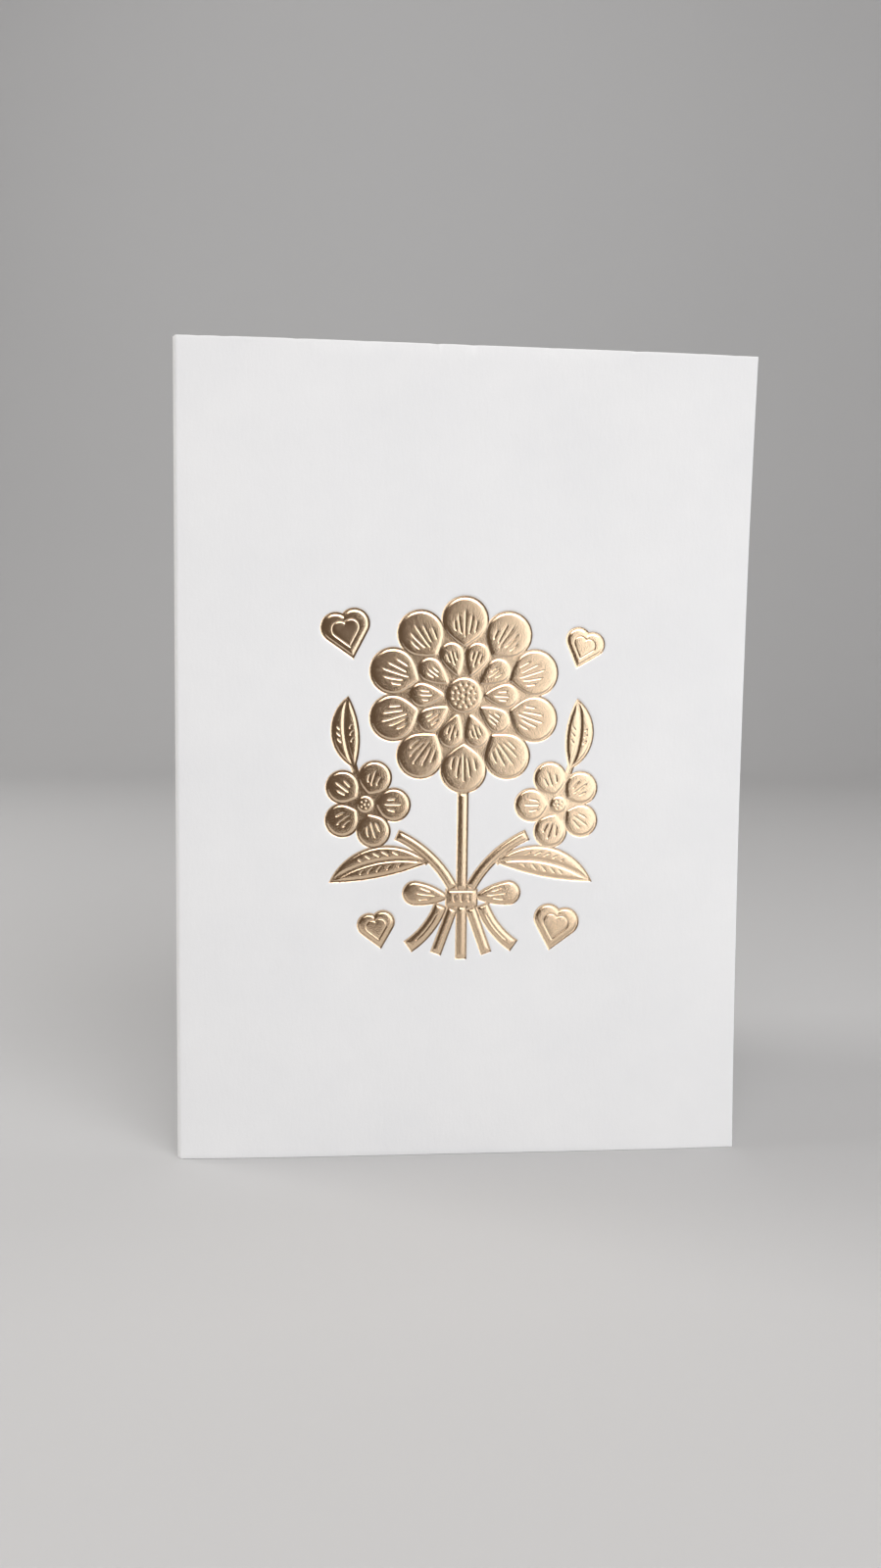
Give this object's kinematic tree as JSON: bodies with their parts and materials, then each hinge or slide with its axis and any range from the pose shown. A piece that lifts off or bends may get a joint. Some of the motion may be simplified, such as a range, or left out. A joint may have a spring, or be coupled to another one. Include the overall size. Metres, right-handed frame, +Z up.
{
  "type": "greeting card",
  "caption": "Folded card of heavy white board, standing half open, with a tied posy and small hearts pressed into the front in gold foil.",
  "frame": {"origin": "middle of the footprint, on the surface that the card stands on", "axes": "+Z up along the fold; the front panel faces -Y; the fold is at -X and the back panel swings to +Y"},
  "size_m": [0.105, 0.082, 0.148],
  "materials": {
    "white_board": "matt, uncoated",
    "gold_foil": "satin, pale gold"
  },
  "bodies": {
    "root": {"folded_sheet": "white_board", "foil_posy": "gold_foil", "foil_heart_1": "gold_foil", "foil_heart_2": "gold_foil", "foil_heart_3": "gold_foil", "foil_heart_4": "gold_foil"}
  },
  "joints": []
}
